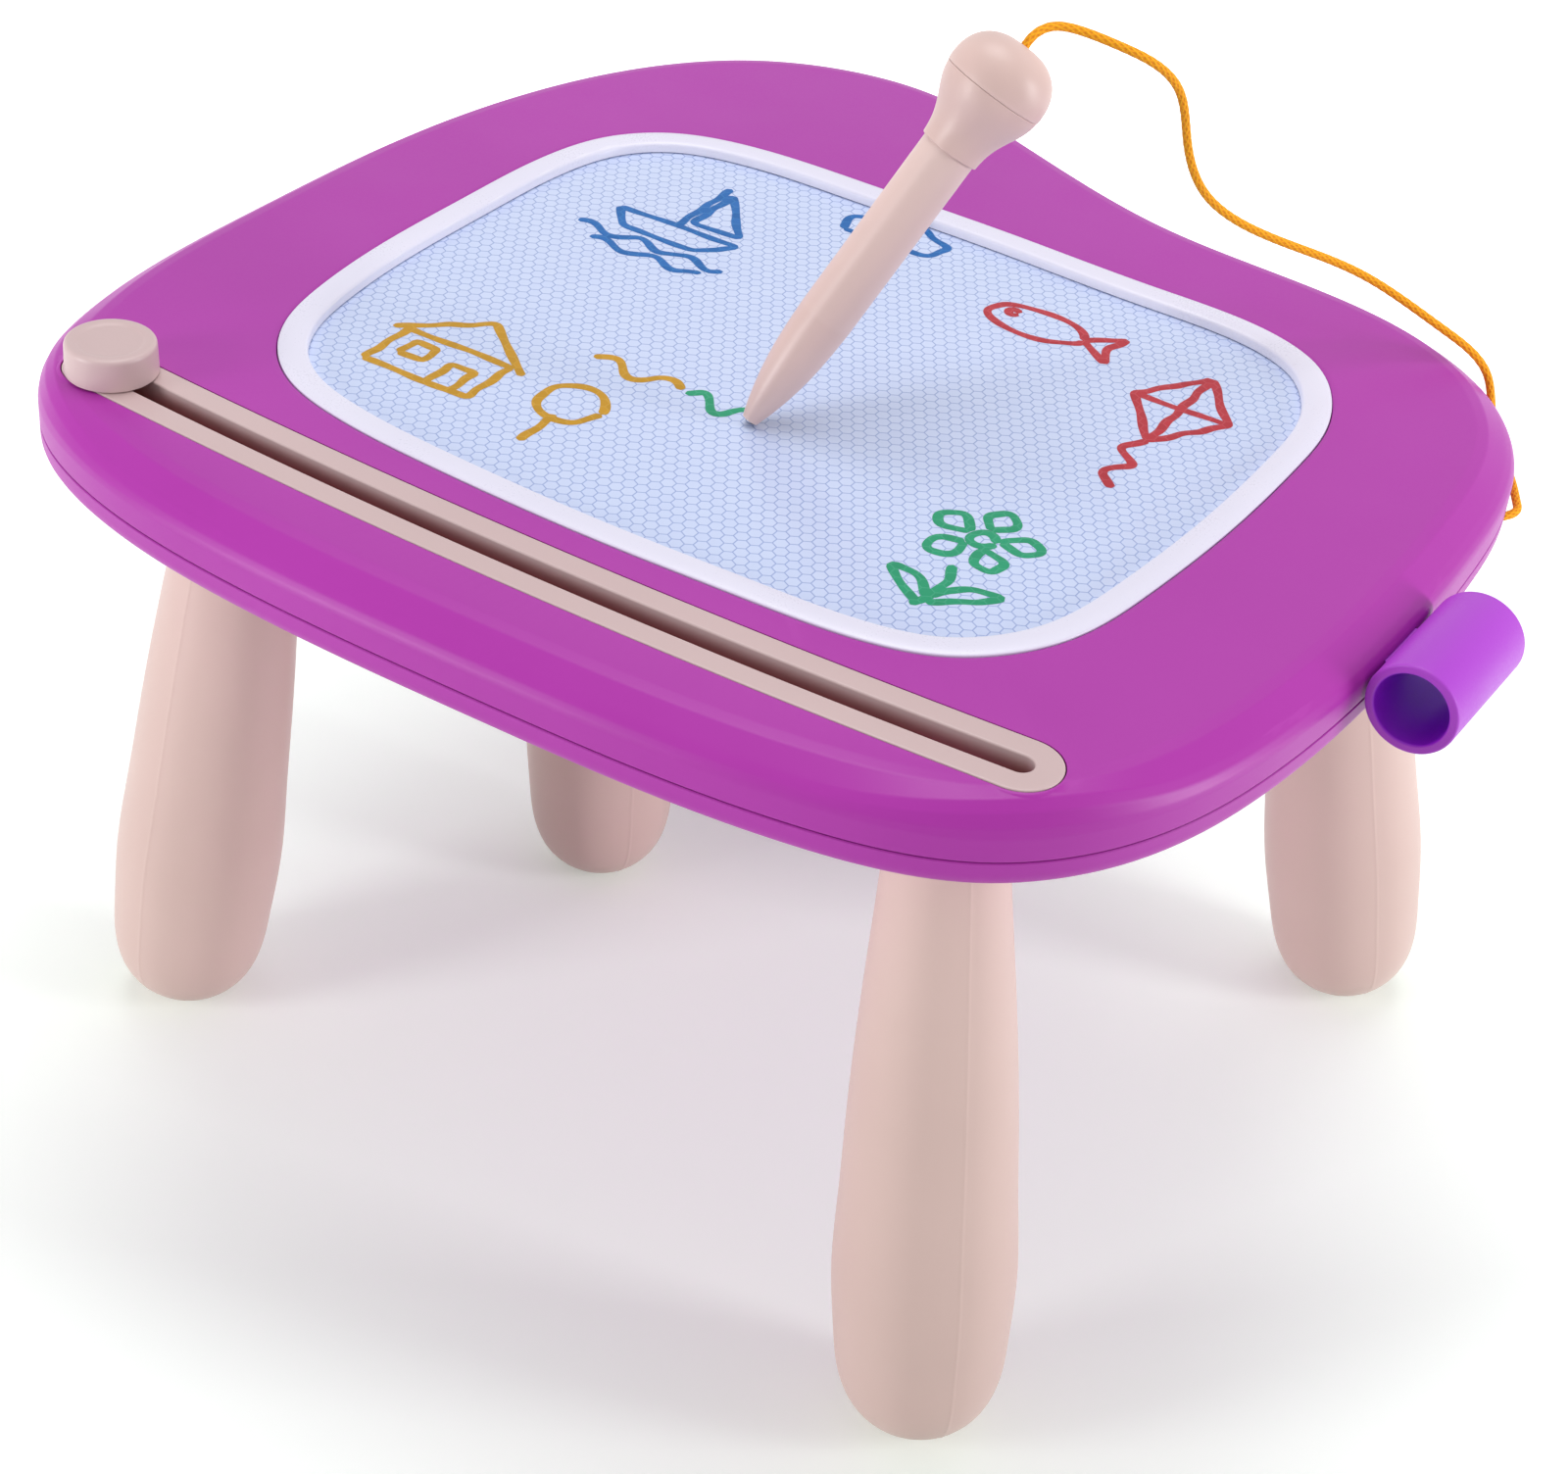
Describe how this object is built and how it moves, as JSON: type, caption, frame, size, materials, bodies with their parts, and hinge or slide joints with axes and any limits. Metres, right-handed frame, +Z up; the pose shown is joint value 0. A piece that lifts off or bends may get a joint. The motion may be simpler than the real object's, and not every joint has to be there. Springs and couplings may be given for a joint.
{
  "type": "magnetic drawing board",
  "caption": "Pebble-shaped magnetic drawing board on splayed club legs, with an arc-sliding eraser, a side pen tube and a corded magnetic pen.",
  "frame": {"origin": "on the floor, under the middle of the object's box, measured without the cord", "axes": "+X to the right as a child sits at the eraser's side, +Y to the back of the board, +Z up"},
  "size_m": [0.4106, 0.376, 0.3528],
  "materials": {
    "violet_plastic": "moulded violet plastic, satin to soft gloss",
    "lilac_plastic": "pale lilac plastic, soft gloss",
    "screen_film": "clear film over a pale blue magnetic liquid",
    "cell_sheet": "moulded sheet of small cells",
    "dusky_pink_plastic": "dusky pink plastic, satin",
    "pink_plastic": "pale pink plastic, satin",
    "bright_violet_plastic": "bright violet plastic, satin",
    "zinc_plated_steel": "bright zinc plating",
    "ferrite_magnet": "dark sintered ferrite",
    "orange_cord": "fine braid of orange yarn"
  },
  "bodies": {
    "board": {"bottom_shell": "violet_plastic", "top_shell": "violet_plastic", "screen_bezel": "lilac_plastic", "screen_film": "screen_film", "honeycomb_core": "cell_sheet", "screen_back_film": "screen_film", "slider_track": "dusky_pink_plastic", "case_screw_1": "zinc_plated_steel", "case_screw_2": "zinc_plated_steel", "case_screw_3": "zinc_plated_steel", "case_screw_4": "zinc_plated_steel", "case_screw_5": "zinc_plated_steel", "case_screw_6": "zinc_plated_steel", "case_screw_7": "zinc_plated_steel", "case_screw_8": "zinc_plated_steel", "pen_holder": "bright_violet_plastic", "pen_cord": "orange_cord", "cord_knot_board": "orange_cord"},
    "eraser": {"eraser_knob": "dusky_pink_plastic", "eraser_carriage": "dusky_pink_plastic", "eraser_bar": "lilac_plastic", "eraser_magnet_strip": "ferrite_magnet", "knob_screw": "zinc_plated_steel"},
    "front_left_leg": {"leg_front_left": "pink_plastic"},
    "front_right_leg": {"leg_front_right": "pink_plastic"},
    "back_right_leg": {"leg_back_right": "pink_plastic"},
    "back_left_leg": {"leg_back_left": "pink_plastic"},
    "pen": {"pen_barrel": "pink_plastic", "pen_collar": "pink_plastic", "pen_cap": "pink_plastic", "pen_magnet": "ferrite_magnet", "pen_tip_ball": "zinc_plated_steel", "cord_knot_pen": "orange_cord"}
  },
  "joints": [
    {"name": "eraser_slide", "type": "hinge", "parent": "board", "child": "eraser", "pos_m": [0.03067, 1.84914, 0.245], "axis": [0, 0, 1], "range_deg": [0, 8.25]},
    {"name": "front_left_leg_plug", "type": "slide", "parent": "board", "child": "front_left_leg", "axis": [-0.1014, -0.0758, -0.992], "range_m": [0, 0.02]},
    {"name": "front_right_leg_plug", "type": "slide", "parent": "board", "child": "front_right_leg", "axis": [0.065, 0.0305, -0.9974], "range_m": [0, 0.02]},
    {"name": "back_right_leg_plug", "type": "slide", "parent": "board", "child": "back_right_leg", "axis": [0.1846, 0.0971, -0.978], "range_m": [0, 0.02]},
    {"name": "back_left_leg_plug", "type": "slide", "parent": "board", "child": "back_left_leg", "axis": [0.0301, 0.0248, -0.9992], "range_m": [0, 0.02]},
    {"name": "pen_lift", "type": "slide", "parent": "board", "child": "pen", "axis": [0, 0, 1], "range_m": [0, 0.1], "deforming": ["pen_cord"]}
  ]
}
